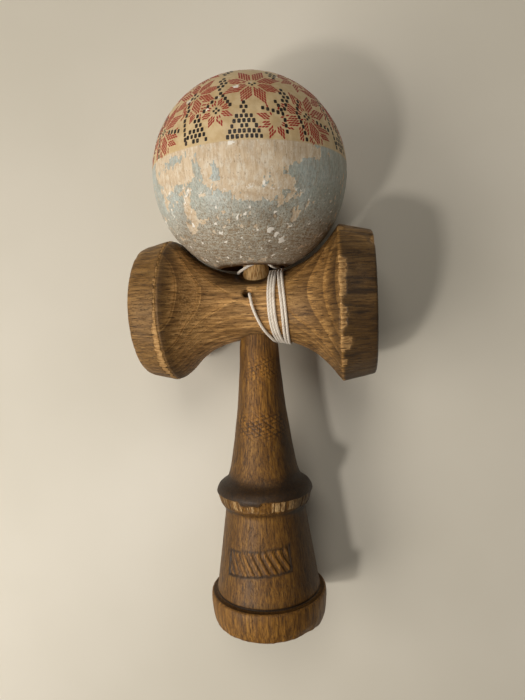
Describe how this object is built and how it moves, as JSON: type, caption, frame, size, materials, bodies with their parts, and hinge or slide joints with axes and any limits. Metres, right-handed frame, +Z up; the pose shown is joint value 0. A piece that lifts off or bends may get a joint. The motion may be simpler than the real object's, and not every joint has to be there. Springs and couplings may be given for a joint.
{
  "type": "kendama",
  "caption": "Wooden cup-and-ball toy lying down: turned handle with a spike, cross piece with two cups, worn painted ball on the spike, string wound round the waist.",
  "frame": {"origin": "on the table, under the middle of the object's bounding box without its string, as it lies", "axes": "+Z up from the table it lies on; +Y along the handle, from its base to the spike, level; +X towards the big cup"},
  "size_m": [0.0746, 0.177, 0.0599],
  "materials": {
    "handle_wood": "bare, handled smooth",
    "cross_wood": "bare, handled smooth, ridges worn pale",
    "painted_wood": "worn matt paint and print over bare wood",
    "bead_wood": "bare",
    "string": "twisted synthetic cord"
  },
  "bodies": {
    "stick": {"ken": "handle_wood", "sarado": "cross_wood", "anchor_knot": "string", "string_lead": "string", "string_winding": "string"},
    "string_end": {"bead": "bead_wood", "end_knot": "string", "string_tail": "string"},
    "ball": {"tama": "painted_wood"}
  },
  "joints": [
    {"name": "ball_slide", "type": "slide", "parent": "stick", "child": "string_end", "axis": [0, 0.9988, 0.049], "range_m": [0, 0.055]},
    {"name": "ball_spin", "type": "hinge", "parent": "string_end", "child": "ball", "pos_m": [-0.00061, 0.05669, 0.03], "axis": [0, 0.9988, 0.049], "continuous": true}
  ]
}
